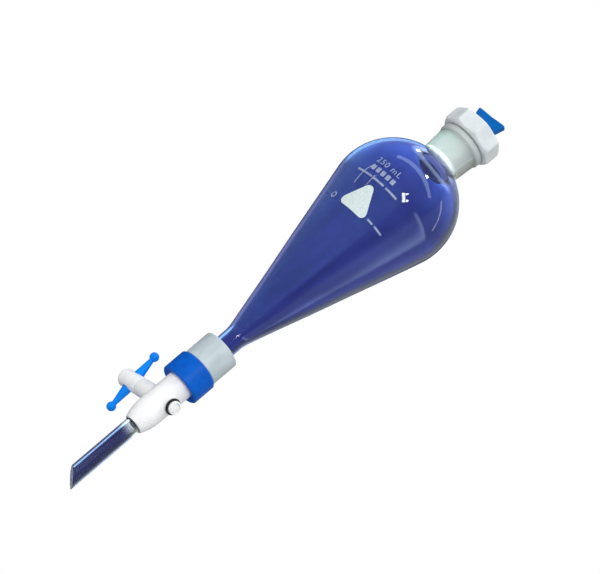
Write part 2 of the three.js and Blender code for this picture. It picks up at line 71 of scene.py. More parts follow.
# Heights and radii that the frame gives.
X, Z = 0, 2
PLUG_HEIGHT = next(j for j in frame["joints"] if j["name"] == "stopcock_turn")["pos_m"][2] / MM
GLASS_END = low("glass_body", Z)
MOUTH_HEIGHT = high("glass_body", Z)
BULB_RADIUS = high("glass_body", X)
STOPPER_BOTTOM = low("stopper_plug", Z)
HEAD_TOP = high("stopper_plug", Z)
GRIP_TOP = high("stopper_grip", Z)
COLLAR_TOP = high("coupling_collar", Z)
SPIGOT_END = low("coupling_collar", Z)
COLLAR_RADIUS = high("coupling_collar", X)
NUT_TOP = high("union_nut", Z)
NUT_BOTTOM = low("union_nut", Z)
NUT_RADIUS = high("union_nut", X)
FLANGE_TOP = high("valve_body", Z)
NOSE_END = low("valve_body", Z)
BARREL_END = low("valve_body", X)
PLUG_HEAD_END = low("stopcock_plug", X)
TIP_END = high("stopcock_plug", X)
WASHER_START = low("plug_washer", X)
WASHER_END = high("plug_washer", X)
TENSION_NUT_START = low("tension_nut", X)
TENSION_NUT_END = high("tension_nut", X)
STEM_TOP = high("drip_stem", Z)
SPLIT_RING_BOTTOM = low("split_ring_left", Z)

# Glass.
WALL = 2
SEAT_RADIUS = 30
CONE_ANGLE = math.radians(14.67)
TUBE_RADIUS = 6.9
BEAD_RADIUS = 8.6
BEAD_TOP = GLASS_END + 3
NECK_BASE_RADIUS = 13.1
NECK_TOP_RADIUS = 14.3
RIM_RADIUS = 15.2
RIM_HEIGHT = 4.4
CONE_FOOT_BEND = 25
JOINT_SLOPE = 0.05
JOINT_MOUTH_RADIUS = 11
JOINT_LENGTH = 20.6
JOINT_BOTTOM = MOUTH_HEIGHT - JOINT_LENGTH

# Stopper.
STOPPER_FIT = 0.12
STOPPER_HOLLOW_RADIUS = 7.8
STOPPER_HOLLOW_TOP = 97.5
HEAD_UNDERSIDE = MOUTH_HEIGHT + 0.6
HEAD_FLARE = 3
HEAD_APOTHEM = 17
HEAD_CORNER_ANGLE = math.radians(5)
GRIP_ANGLE = math.radians(22)
GRIP_FOOT = HEAD_TOP + 0.6
GRIP_EDGE = 0.7
GRIP_BASE_WIDTH = 14.6
GRIP_TOP_WIDTH = 20.7
GRIP_THICKNESS = 4.6
GRIP_WAIST = 3.4
GRIP_THUMB_RADIUS = 36
TENON_DEPTH = 3.7
SLOT_GAP = 0.3

# Coupling.
SPIGOT_RADIUS = 11.5
COLLAR_STEP = NUT_TOP + 0.2
COLLAR_SLEEVE_BORE = BEAD_RADIUS + 0.2
COLLAR_FLANGE_BORE = 9.9
SPLIT_RING_FLANGE_RADIUS = 9.7
SPLIT_RING_SHOULDER = SPLIT_RING_BOTTOM + 2.6
SPLIT_RING_BORE = TUBE_RADIUS + 0.2
NUT_BORE = 11.7
NUT_SHOULDER = NUT_BOTTOM + 3
NUT_NECK_BORE = 8.95
THREAD_PITCH = 3
THREAD_DEPTH = 0.7
THREAD_FADE = 0.8
NUT_THREAD_END = -124.6

# Valve body, plug and stem.
FLANGE_RADIUS = 11
FLANGE_BOTTOM = FLANGE_TOP - 3
VALVE_RADIUS = 8.75
NOSE_START = -154
NOSE_RADIUS = 6.2
BARREL_RADIUS = 5.5
BOSS_RADIUS = 5.2
BOSS_END = WASHER_START - 0.2
BORE_WIDE_RADIUS = 4.3
BORE_NARROW_RADIUS = 3.3
INLET_RADIUS = 4.5
INLET_FOOT = -136
PASSAGE_RADIUS = 1.75
PASSAGE_TOP = -139
SOCKET_TOP = STEM_TOP + 1
PLUG_FIT = 0.15
PLUG_TURN = math.radians(11)
CROSS_BORE_RADIUS = 1.75
TIP_RADIUS = 2.6
HANDLE_OFFSET = -28.9
ARM_REACH = 18.6
ARM_BALL_RADIUS = 2.8
ARM_NECK_RADIUS = 1.5
ARM_FOOT = 4.8
ARM_FOOT_RADIUS = 2.9
PEG_RADIUS = 1.8
PEG_ROOT = 2.4
WASHER_RADIUS = 5
TENSION_RING_SECTION = 0.8
TENSION_NUT_RADIUS = 4
STEM_RADIUS = 5
STEM_BORE = 3.2
SOCKET_RADIUS = STEM_RADIUS + 0.2
LIP_RADIUS = STEM_RADIUS + 0.06
SEAL_GROOVE_RADIUS = STEM_RADIUS + 1.7
SEAL_GROOVE_HALF = 0.85
FACE_GROOVE_HALF = 1
FACE_GROOVE_DEPTH = 1.6
TIP_MIDDLE = -213
TIP_BEVEL = math.radians(43.2)
TIP_TRIM = 8
TIP_CUTTER = 20
TIP_LONG_SIDE_ANGLE = math.radians(50)
SEAL_SECTION = 0.7
COUPLING_SEAL_RADIUS = 6.8
STEM_SEAL_HEIGHT = -160.8

TANGENT_RADIUS = BULB_RADIUS * math.cos(CONE_ANGLE)
TANGENT_HEIGHT = (TANGENT_RADIUS - SEAT_RADIUS) / math.tan(CONE_ANGLE)
BULB_CENTRE = TANGENT_HEIGHT + BULB_RADIUS * math.sin(CONE_ANGLE)

# Camera: its direction from the funnel, its roll, its distance, and the point it looks at.
VIEW_AZIMUTH = math.radians(-40)
VIEW_ELEVATION = math.radians(-18.37)
VIEW_ROLL = math.radians(49.54)
VIEW_DISTANCE = 1852
AIM_HEIGHT = -51.8
AIM_RIGHT = 9.65
AIM_UP = 5.66
LENS = 196
SENSOR = 36

# The floor is a wide slab, well below the funnel.
FLOOR_REACH = 40000
FLOOR_TOP = -700
FLOOR_THICKNESS = 20


# ---- outlines ----


def arc(centre_radius, centre_height, radius, start, end, steps):
    """Points (radius, height) along an arc, between two angles in radians."""
    angles = np.linspace(start, end, steps + 1)
    return [(centre_radius + radius * math.cos(a), centre_height + radius * math.sin(a)) for a in angles]


def rounded(corners, steps=6):
    """An outline of (radius, height, fillet) corners, with each fillet drawn as an arc."""
    points = []
    for i, corner in enumerate(corners):
        here = Vector(corner[:2])
        if len(corner) == 2:
            points.append(tuple(here))
            continue
        back = (Vector(corners[i - 1][:2]) - here).normalized()
        ahead = (Vector(corners[(i + 1) % len(corners)][:2]) - here).normalized()
        half = math.acos(max(-1, min(1, back.dot(ahead)))) / 2
        middle = here + (back + ahead).normalized() * corner[2] / math.sin(half)
        start = here + back * corner[2] / math.tan(half) - middle
        end = here + ahead * corner[2] / math.tan(half) - middle
        sweep = math.atan2(start.x * end.y - start.y * end.x, start.dot(end))
        for k in range(steps + 1):
            turn = Matrix.Rotation(sweep * k / steps, 2)
            points.append(tuple(middle + turn @ start))
    return points


def divided(outline, longest):
    """The outline with its long stretches divided, and closed unless it ends on the axis."""
    ends = outline if outline[0][0] == 0 else [*outline, outline[0]]
    points = [ends[0]]
    for a, b in zip(ends, ends[1:]):
        pieces = max(1, math.ceil(math.dist(a, b) / longest))
        step = np.array(b) - np.array(a)
        points += [tuple(np.array(a) + step * k / pieces) for k in range(1, pieces + 1)]
    return points if outline[0][0] == 0 else points[:-1]


# ---- meshes ----


SHARP_EDGE = math.radians(38)


def new_piece(name, vertices, faces, place=None):
    """A shaded mesh object in the frame. Its place is in its vertices."""
    mesh = bpy.data.meshes.new(name)
    mesh.from_pydata((np.asarray(vertices, float) * MM).tolist(), [], faces)
    if place is not None:
        mesh.transform(place)
    piece = bpy.data.objects.new(name, mesh)
    bpy.context.scene.collection.objects.link(piece)
    shade(piece)
    return piece


def shade(piece):
    """Smooth shading that keeps true edges sharp."""
    piece.data.polygons.foreach_set("use_smooth", [True] * len(piece.data.polygons))
    piece.data.set_sharp_from_angle(angle=SHARP_EDGE)
    piece.data.update()


def revolve(name, outline, facets=FINE, reshape=None, place=None, sweep=None):
    """A solid of revolution about Z from an anticlockwise outline. reshape(r, z, angle)
    moves its points, and sweep = (start, end) makes only a part of a turn."""
    on_axis = outline[0][0] == 0
    rim = outline[1:-1] if on_axis else outline
    start, end = sweep or (0, 2 * math.pi)
    count = facets + 1 if sweep else facets
    angles = start + (end - start) * np.arange(count) / facets
    radius = np.array([p[0] for p in rim])[:, None] + 0 * angles
    height = np.array([p[1] for p in rim])[:, None] + 0 * angles
    turn = angles[None, :] + 0 * radius
    if reshape:
        radius, height = reshape(radius, height, turn)
    grid = np.stack([radius * np.cos(turn), radius * np.sin(turn), height], axis=-1)
    vertices = grid.reshape(-1, 3).tolist()
    rows = len(rim)
    faces = []
    for i in range(rows if not on_axis else rows - 1):
        j = (i + 1) % rows
        for k in range(facets):
            m = (k + 1) % count
            faces.append((i * count + k, i * count + m, j * count + m, j * count + k))
    if on_axis:
        bottom, top = len(vertices), len(vertices) + 1
        vertices += [[0, 0, outline[0][1]], [0, 0, outline[-1][1]]]
        last = (rows - 1) * count
        for k in range(facets):
            m = (k + 1) % count
            faces.append((bottom, m, k))
            faces.append((top, last + k, last + m))
    elif sweep:
        faces.append(tuple(i * count for i in range(rows)))
        faces.append(tuple(i * count + facets for i in reversed(range(rows))))
    return new_piece(name, vertices, faces, place)


def loft(name, rings, place=None):
    """A closed solid through rings of points that all have the same count, with flat ends."""
    count = len(rings[0])
    vertices = [p for ring in rings for p in ring]
    faces = [tuple(reversed(range(count)))]
    for i in range(len(rings) - 1):
        for k in range(count):
            m = (k + 1) % count
            faces.append((i * count + k, i * count + m, (i + 1) * count + m, (i + 1) * count + k))
    faces.append(tuple(range((len(rings) - 1) * count, len(rings) * count)))
    return new_piece(name, vertices, faces, place)


def rod(radius, bottom, top, top_radius=None, facets=MEDIUM, place=None):
    """A tool about Z that cuts a straight or tapered bore."""
    outline = [(0, bottom), (radius, bottom), (top_radius or radius, top), (0, top)]
    return revolve("tool", outline, facets, place=place)


def block(name, low_corner, high_corner, place=None):
    """A box between two corners."""
    (x0, y0, z0), (x1, y1, z1) = low_corner, high_corner
    rings = [[(x0, y0, z), (x1, y0, z), (x1, y1, z), (x0, y1, z)] for z in (z0, z1)]
    return loft(name, rings, place)


def combine(piece, tools, operation):
    """Joins the tools to the piece, or cuts them out of it, and removes them."""
    for tool in tools:
        boolean = piece.modifiers.new("boolean", "BOOLEAN")
        boolean.operation = operation
        boolean.solver = "EXACT"
        boolean.object = tool
    bpy.context.view_layer.update()
    depsgraph = bpy.context.evaluated_depsgraph_get()
    result = bpy.data.meshes.new_from_object(piece.evaluated_get(depsgraph), depsgraph=depsgraph)
    piece.modifiers.clear()
    piece.data = result
    for tool in tools:
        bpy.data.objects.remove(tool)
    shade(piece)


def along_x(height=0.0):
    """Lays a shape made about Z along X, with its top towards +X, at a height in mm."""
    return Matrix.Translation((0, 0, height * MM)) @ Matrix.Rotation(math.pi / 2, 4, "Y")


def plug_place(offset=0.0, flip=False):
    """From the plug's own axes to the frame, at the handle's rest angle."""
    place = Matrix.Translation((offset * MM, 0, PLUG_HEIGHT * MM)) @ Matrix.Rotation(PLUG_TURN, 4, "X")
    return place @ Matrix.Rotation(math.pi, 4, "X") if flip else place


def smooth_min(a, b, blend):
    """The smaller of two lengths, with the corner between them rounded off."""
    overlap = np.maximum(blend - np.abs(a - b), 0) / blend
    return np.minimum(a, b) - overlap**2 * blend / 4


# ---- materials ----


class Nodes:
    """Small helpers for building a node tree."""

    def __init__(self, tree):
        self.tree = tree

    def node(self, kind, **settings):
        node = self.tree.nodes.new("ShaderNode" + kind)
        for key, value in settings.items():
            setattr(node, key, value)
        return node

    def link(self, source, target):
        self.tree.links.new(source, target)

    def between(self, value, start, end, low_value=0.0, high_value=1.0):
        """Maps value smoothly from start..end to low_value..high_value."""
        ranged = self.node("MapRange", interpolation_type="SMOOTHSTEP")
        ends = {"From Min": start, "From Max": end, "To Min": low_value, "To Max": high_value}
        for socket, number in ends.items():
            ranged.inputs[socket].default_value = number
        self.link(value, ranged.inputs["Value"])
        return ranged.outputs["Result"]

    def product(self, first, second):
        """Two patterns multiplied."""
        node = self.node("Math", operation="MULTIPLY")
        self.link(first, node.inputs[0])
        self.link(second, node.inputs[1])
        return node.outputs[0]

    def mix(self, factor, first, second):
        """A colour between two, by a pattern."""
        node = self.node("Mix", data_type="RGBA")
        self.link(factor, node.inputs["Factor"])
        for socket, colour in ((node.inputs[6], first), (node.inputs[7], second)):
            if isinstance(colour, tuple):
                socket.default_value = (*colour, 1)
            else:
                self.link(colour, socket)
        return node.outputs[2]

    def along(self, vector, direction):
        """The part of a vector along a direction."""
        dot = self.node("VectorMath", operation="DOT_PRODUCT")
        self.link(vector, dot.inputs[0])
        dot.inputs[1].default_value = direction
        return dot.outputs["Value"]


class Shader(Nodes):
    """A material with one Principled shader, and its patterns in the frame's coordinates."""

    def __init__(self, name, **sockets):
        self.material = bpy.data.materials.new(name)
        self.material.use_nodes = True
        super().__init__(self.material.node_tree)
        self.surface = self.tree.nodes["Principled BSDF"]
        for socket, value in sockets.items():
            self.surface.inputs[socket.replace("_", " ")].default_value = value
        self.place = self.node("TexCoord").outputs["Object"]

    def stretched(self, scale):
        """The frame's coordinates, stretched along each axis."""
        mapping = self.node("Mapping")
        mapping.inputs["Scale"].default_value = scale
        self.link(self.place, mapping.inputs["Vector"])
        return mapping.outputs["Vector"]

    def noise(self, size, detail=3, roughness=0.5, stretch=(1, 1, 1)):
        """Cloudy pattern from 0 to 1, whose features are about size mm wide."""
        noise = self.node("TexNoise")
        noise.inputs["Scale"].default_value = 1 / (size * MM)
        noise.inputs["Detail"].default_value = detail
        noise.inputs["Roughness"].default_value = roughness
        self.link(self.stretched(stretch), noise.inputs["Vector"])
        return noise.outputs["Fac"]

    def height(self):
        """Height above the ring seat, in metres."""
        split = self.node("SeparateXYZ")
        self.link(self.place, split.inputs[0])
        return split.outputs["Z"]

    def edges(self, blend=0.5):
        """1 where a surface is seen edge on, and 0 where it faces the eye."""
        weight = self.node("LayerWeight")
        weight.inputs["Blend"].default_value = blend
        return weight.outputs["Facing"]

    def colour(self, source):
        self.link(source, self.surface.inputs["Base Color"])

    def mottled(self, pattern, dark, light, start=0.3, end=0.7):
        """Colours the surface between two tones, by a pattern."""
        self.colour(self.mix(self.between(pattern, start, end), dark, light))

    def roughness(self, source):
        self.link(source, self.surface.inputs["Roughness"])

    def bump(self, source, height_mm, strength=1.0):
        bump = self.node("Bump")
        bump.inputs["Strength"].default_value = strength
        bump.inputs["Distance"].default_value = height_mm * MM
        self.link(source, bump.inputs["Height"])
        self.link(bump.outputs["Normal"], self.surface.inputs["Normal"])


GLASS_IOR = 1.47
BULB_TINT = (0.162, 0.192, 0.46)
NECK_TINT = (0.93, 0.95, 0.95)
TINT_ENDS = (69.5 * MM, 72 * MM)
STEM_CLEAR_ZONE = (-175 * MM, -168 * MM)


def tinted_glass():
    """Blown glass: deep blue below, clear at the neck, with faint ripples, and painted shade that darkens it
    where it is seen edge on.
    """
    shader = Shader("tinted_glass", Transmission_Weight=1, IOR=GLASS_IOR, Roughness=0)
    neck = shader.between(shader.height(), *TINT_ENDS)
    streaks = shader.noise(9, stretch=(1, 1, 0.12))
    light_tint, dark_tint, painted_edge_shade = (tuple(share * c for c in BULB_TINT) for share in (1.12, 0.9, 0.2))
    blue = shader.mix(shader.between(streaks, 0.3, 0.7), dark_tint, light_tint)
    # Painted shade: the blue is darkened where the glass is seen edge on, for a dark outline.
    blue = shader.mix(shader.between(shader.edges(), 0.82, 1), blue, painted_edge_shade)
    shader.colour(shader.mix(neck, blue, NECK_TINT))
    shader.bump(shader.noise(26, detail=0, stretch=(1, 1, 0.3)), 0.2, 0.2)
    return shader.material


def stem_glass():
    """Drawn tubing of the same glass: clear where it enters the valve, then deep blue, with painted shade
    that darkens it where it is seen edge on.
    """
    shader = Shader("stem_glass", Transmission_Weight=1, IOR=GLASS_IOR)
    clear = shader.between(shader.height(), *STEM_CLEAR_ZONE)
    streaks = shader.between(shader.noise(2.2, detail=4, stretch=(1, 1, 0.03)), 0.35, 0.65)
    blue = shader.mix(streaks, (0.13, 0.14, 0.28), (0.26, 0.28, 0.46))
    # Painted shade: the tube is darkened where it is seen edge on, for a dark outline.
    blue = shader.mix(shader.between(shader.edges(), 0.8, 1), blue, (0.1, 0.1, 0.15))
    shader.colour(shader.mix(clear, blue, (0.8, 0.84, 0.88)))
    shader.roughness(shader.between(shader.noise(6), 0.4, 0.7, 0.0, 0.05))
    shader.bump(shader.noise(5, detail=2, stretch=(1, 1, 0.05)), 0.1, 0.15)
    return shader.material


def ground_glass():
    """Ground faces, which scatter light and look white."""
    shader = Shader("ground_glass", Transmission_Weight=0.2, IOR=GLASS_IOR)
    grain = shader.noise(0.35, detail=6, roughness=0.7)
    shader.mottled(grain, (0.5, 0.54, 0.53), (0.58, 0.61, 0.6))
    shader.roughness(shader.between(grain, 0.2, 0.8, 0.45, 0.62))
    shader.bump(grain, 0.06, 0.6)
    return shader.material


def enamel(name, dark, light):
    """Fired white marking enamel, a little uneven where it was screened on."""
    shader = Shader(name, Specular_IOR_Level=0.4)
    film = shader.noise(1.4, detail=5)
    shader.mottled(film, dark, light)
    shader.roughness(shader.between(film, 0.3, 0.7, 0.45, 0.6))
    shader.bump(shader.noise(0.4, detail=4), 0.02, 0.5)
    return shader.material


def natural_plastic(name, dark, light, glow, depth):
    """Unpigmented polyethylene: waxy, with faint flow marks and a fine moulded grain. Light
    scatters inside it by the share glow, to a depth in mm."""
    shader = Shader(name, Subsurface_Weight=glow, Subsurface_Scale=depth * MM, IOR=1.5)
    shader.surface.inputs["Subsurface Radius"].default_value = (1, 0.95, 0.9)
    flow = shader.noise(7, detail=4, stretch=(1, 1, 0.5))
    shader.mottled(flow, dark, light)
    shader.roughness(shader.between(flow, 0.3, 0.7, 0.34, 0.5))
    shader.bump(shader.noise(0.5, detail=3), 0.03, 0.5)
    return shader.material


def blue_plastic(name, dark, light):
    """Pigmented moulded plastic with a fine grain and slight clouding."""
    shader = Shader(name, IOR=1.5, Specular_IOR_Level=0.12)
    shader.mottled(shader.noise(5, detail=4), dark, light, 0.25, 0.75)
    shader.roughness(shader.between(shader.noise(1.2), 0.3, 0.7, 0.3, 0.45))
    shader.bump(shader.noise(0.4, detail=4), 0.03, 0.5)
    return shader.material


def fluoropolymer():
    """Machined fluoropolymer: waxy white, with fine tool marks and a few grey flecks."""
    shader = Shader("white_fluoropolymer", Subsurface_Weight=0.3, Subsurface_Scale=2 * MM, IOR=1.38)
    shader.surface.inputs["Subsurface Radius"].default_value = (1, 1, 1)
    shader.mottled(shader.noise(4, detail=4), (0.87, 0.885, 0.9), (0.95, 0.955, 0.96), 0.2, 0.6)
    tool_marks = shader.noise(0.3, detail=2, stretch=(0.15, 0.15, 1))
    shader.roughness(shader.between(tool_marks, 0.3, 0.7, 0.32, 0.46))
    shader.bump(tool_marks, 0.02, 0.5)
    return shader.material


def rubber():
    """Matte black elastomer with a moulded bloom."""
    shader = Shader("black_rubber", IOR=1.45)
    bloom = shader.noise(0.8, detail=5)
    shader.mottled(bloom, (0.012, 0.012, 0.013), (0.03, 0.03, 0.032), 0.35, 0.75)
    shader.roughness(shader.between(bloom, 0.3, 0.7, 0.45, 0.65))
    shader.bump(bloom, 0.03, 0.5)
    return shader.material


MATERIALS = {
    "tinted_glass": tinted_glass(),
    "stem_glass": stem_glass(),
    "ground_glass": ground_glass(),
    "enamel": enamel("marking_enamel", (0.55, 0.66, 0.66), (0.66, 0.75, 0.75)),
    "thin_enamel": enamel("thin_enamel", (0.2, 0.25, 0.42), (0.34, 0.4, 0.56)),
    "natural_plastic": natural_plastic("natural_plastic", (0.47, 0.55, 0.58), (0.55, 0.62, 0.65), 0.35, 2.5),
    "stopper_plastic": natural_plastic("stopper_plastic", (0.68, 0.72, 0.74), (0.76, 0.8, 0.81), 0.6, 4),
    "blue_plastic": blue_plastic("blue_plastic", (0.0, 0.09, 0.48), (0.0, 0.112, 0.57)),
    "grip_plastic": blue_plastic("grip_plastic", (0.0, 0.1, 0.37), (0.0, 0.13, 0.45)),
    "handle_plastic": blue_plastic("handle_plastic", (0.0, 0.22, 0.86), (0.0, 0.26, 0.95)),
    "white_fluoropolymer": fluoropolymer(),
    "black_rubber": rubber(),
}


def dress(piece, body, slot, *looks, node=None):
    """Gives a piece its materials and its body, and hides the CAD node it stands for. Its
    material is the slot's own unless looks are given."""
    piece.data.materials.clear()
    for look in looks or (slot,):
        piece.data.materials.append(MATERIALS[look])
    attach(piece, body)
    if node:
        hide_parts(node)


def repaint(piece, index, chosen):
    """Moves the faces that chosen(centre in mm, normal) picks to another material slot."""
    for face in piece.data.polygons:
        if chosen(face.center / MM, face.normal):
            face.material_index = index


# ---- the glass ----


def wander(height, angle):
    """How far a blown wall strays from a true circle: about a tenth of a millimetre."""
    return 0.09 * np.sin(2 * angle + height / 23) + 0.05 * np.sin(3 * angle - height / 9)


def blown(radius, height, angle):
    """Lets the blown wall wander, and leaves the tube and the neck true."""
    free = np.clip((height + 95) / 20, 0, 1) * np.clip((70 - height) / 10, 0, 1)
    return radius + free * wander(height, angle), height


def glass_outline():
    """The wall's section: tube, cone, bulb and neck, up the outside and down the inside."""
    bore = TUBE_RADIUS - WALL
    inner = BULB_RADIUS - WALL
    slope = math.tan(CONE_ANGLE)
    joint_bottom_radius = JOINT_MOUTH_RADIUS - JOINT_SLOPE * JOINT_LENGTH
    neck_angle = math.acos(NECK_BASE_RADIUS / BULB_RADIUS)
    throat_angle = math.acos(joint_bottom_radius / inner)
    cone_foot = TANGENT_HEIGHT - (TANGENT_RADIUS - TUBE_RADIUS) / slope
    inner_tangent = inner * math.cos(CONE_ANGLE)
    inner_foot = BULB_CENTRE - inner * math.sin(CONE_ANGLE) - (inner_tangent - bore) / slope
    outer_bulb = arc(0, BULB_CENTRE, BULB_RADIUS, -CONE_ANGLE, neck_angle, 48)
    inner_bulb = arc(0, BULB_CENTRE, inner, throat_angle, -CONE_ANGLE, 48)
    return rounded([
        (bore, GLASS_END, 0.5),
        (BEAD_RADIUS, GLASS_END, 0.8),
        (BEAD_RADIUS, BEAD_TOP, 0.8),
        (TUBE_RADIUS, BEAD_TOP, 0.4),
        (TUBE_RADIUS, cone_foot, CONE_FOOT_BEND),
        *outer_bulb[:-1],
        (*outer_bulb[-1], 3),
        (NECK_TOP_RADIUS, MOUTH_HEIGHT - RIM_HEIGHT, 0.6),
        (RIM_RADIUS, MOUTH_HEIGHT - RIM_HEIGHT + 0.9, 0.7),
        (RIM_RADIUS, MOUTH_HEIGHT, 1.2),
        (JOINT_MOUTH_RADIUS + 0.4, MOUTH_HEIGHT, 0.3),
        (JOINT_MOUTH_RADIUS, MOUTH_HEIGHT - 0.8),
        (joint_bottom_radius, JOINT_BOTTOM, 1.5),
        *inner_bulb,
        (bore, inner_foot, CONE_FOOT_BEND),
    ])


def make_glass():
    """The blown body. It casts no shadow, so that the light reaches what is inside it."""
    glass = revolve("glass_funnel", divided(glass_outline(), 3), FINE, blown)

    def ground(centre, _normal):
        inside = math.hypot(centre.x, centre.y) < JOINT_MOUTH_RADIUS + 0.05
        return centre.z > (JOINT_BOTTOM + 2 if inside else MOUTH_HEIGHT - RIM_HEIGHT)

    dress(glass, "glass", "tinted_glass", "tinted_glass", "ground_glass", node="glass_body")
    repaint(glass, 1, ground)
    glass.visible_shadow = False


# Printed marks lie on the bulb and cone. They are drawn flat as (across, height) in mm, where
# across is the distance round the glass from the marks' middle.
MARK_ANGLE = math.radians(-65)
MARK_LIFT = 0.04
MARK_THICKNESS = 0.12
MARK_STEP = 1.0
WELD = 1e-4


def on_glass(across, height, lift):
    """The point of the glass under a point of the marks, lifted off it."""
    if height > TANGENT_HEIGHT:
        radius = math.sqrt(max(BULB_RADIUS**2 - (height - BULB_CENTRE) ** 2, 1))
        outward = Vector((radius / BULB_RADIUS, (height - BULB_CENTRE) / BULB_RADIUS))
    else:
        radius = SEAT_RADIUS + height * math.tan(CONE_ANGLE)
        outward = Vector((math.cos(CONE_ANGLE), -math.sin(CONE_ANGLE)))
    angle = MARK_ANGLE + across / radius
    reach = radius + wander(height, angle) + outward.x * lift
    return (reach * math.cos(angle), reach * math.sin(angle), height + outward.y * lift)


def drawn(outlines):
    """Flat faces from outlines."""
    flat = bmesh.new()
    for outline in outlines:
        flat.faces.new([flat.verts.new((x, y, 0)) for x, y in outline])
    return flat


def printed(name, outlines, look="thin_enamel"):
    """A thin enamel film on the glass, from flat outlines."""
    flat = drawn(outlines)
    bmesh.ops.triangulate(flat, faces=flat.faces[:])
    film(name, flat, look)


def film(name, flat, look="thin_enamel"):
    """Lays flat faces on the glass and gives them a thickness."""
    for _pass in range(4):
        long_edges = [e for e in flat.edges if e.calc_length() > MARK_STEP]
        if not long_edges:
            break
        bmesh.ops.subdivide_edges(flat, edges=long_edges, cuts=1)
        bmesh.ops.triangulate(flat, faces=flat.faces[:])
    bmesh.ops.recalc_face_normals(flat, faces=flat.faces[:])
    if sum(f.normal.z for f in flat.faces) < 0:
        bmesh.ops.reverse_faces(flat, faces=flat.faces[:])
    flat.verts.index_update()
    points = [tuple(v.co[:2]) for v in flat.verts]
    triangles = [tuple(v.index for v in f.verts) for f in flat.faces]
    walls = []
    count = len(points)
    for edge in flat.edges:
        if len(edge.link_faces) != 1:
            continue
        a, b = (v.index for v in edge.verts)
        order = [v.index for v in edge.link_faces[0].verts]
        if order[(order.index(a) + 1) % len(order)] != b:
            a, b = b, a
        walls.append((b, a, a + count, b + count))
    flat.free()
    outer = [on_glass(x, y, MARK_LIFT + MARK_THICKNESS) for x, y in points]
    inner = [on_glass(x, y, MARK_LIFT) for x, y in points]
    back = [tuple(i + count for i in reversed(t)) for t in triangles]
    piece = new_piece(name, outer + inner, triangles + back + walls)
    dress(piece, "glass", "natural_plastic", look)


def bar(x0, x1, y0, y1, corner=0.4):
    """A plain bar with rounded corners."""
    outline = []
    for x, y, start in ((x1, y0, -0.5), (x1, y1, 0), (x0, y1, 0.5), (x0, y0, 1)):
        x += corner if x == x0 else -corner
        y += corner if y == y0 else -corner
        outline += arc(x, y, corner, start * math.pi, (start + 0.5) * math.pi, 4)
    return outline


def swept(middle, width):
    """A line of even width along a run of points."""
    points = [Vector(p) for p in middle]
    left, right = [], []
    for i, point in enumerate(points):
        run = points[min(i + 1, len(points) - 1)] - points[max(i - 1, 0)]
        side = Vector((-run.y, run.x)).normalized() * width / 2
        left.append(tuple(point - side))
        right.append(tuple(point + side))
    return left + right[::-1]


def rounded_triangle(width, base, apex, corner):
    """An upright triangle with rounded corners."""
    corners = [(-width / 2, base, corner), (width / 2, base, corner), (0, apex, corner)]
    return rounded(corners, 10)


def numerals(name, text, size, across, height):
    """Numerals in Blender's own plain font, laid on the glass."""
    curve = bpy.data.curves.new(name, "FONT")
    curve.body = text
    curve.size = size
    curve.align_x = "CENTER"
    curve.space_character = 1.15
    holder = bpy.data.objects.new(name, curve)
    bpy.context.scene.collection.objects.link(holder)
    bpy.context.view_layer.update()
    flat = bmesh.new()
    flat.from_mesh(holder.to_mesh())
    holder.to_mesh_clear()
    bpy.data.objects.remove(holder)
    bmesh.ops.remove_doubles(flat, verts=flat.verts[:], dist=WELD)
    bmesh.ops.triangulate(flat, faces=flat.faces[:])
    bmesh.ops.translate(flat, verts=flat.verts[:], vec=(across, height, 0))
    film(name, flat)


def make_marks():
    """The writing patch, the capacity, plain bars where a maker would print words, a curved
    side line, and a small ring."""
    printed("writing_patch", [rounded_triangle(22.6, 3.2, 24, 3)], "enamel")
    numerals("capacity_mark", "250 mL", 5.4, -1, 33.8)
    printed("upper_bars", [bar(x, x + 2.6, 28.4, 31.6) for x in (-9.2, -5.4, -1.6, 2.2, 6)])
    printed("long_bars", [bar(x0, x1, 24.3, 25.5) for x0, x1 in ((-16, -4.5), (-3.2, 5.2), (6.5, 15.5))])
    printed("side_line", [swept([(-8.5, 31.8), (-10.6, 27.5), (-11.2, 22), (-10.6, 16.5)], 0.5)])
    printed("lower_bars", [bar(11.2, 15.4, 5.4, 6.5), bar(16.8, 23.4, 5.6, 6.7)])
    outer, inner = (arc(-16.2, 5.2, radius, 0, 2 * math.pi, 24)[:-1] for radius in (1.9, 1.2))
    ring = drawn([[outer[i - 1], outer[i], inner[i], inner[i - 1]] for i in range(len(outer))])
    bmesh.ops.remove_doubles(ring, verts=ring.verts[:], dist=WELD)
    film("ring_mark", ring)


# ---- the stopper ----


def octagon(angle):
    """The head's flat sides: how far they are from the axis in each direction."""
    side = math.pi / 4
    from_middle = np.mod(angle - HEAD_CORNER_ANGLE, side) - side / 2
    return HEAD_APOTHEM / np.cos(from_middle)


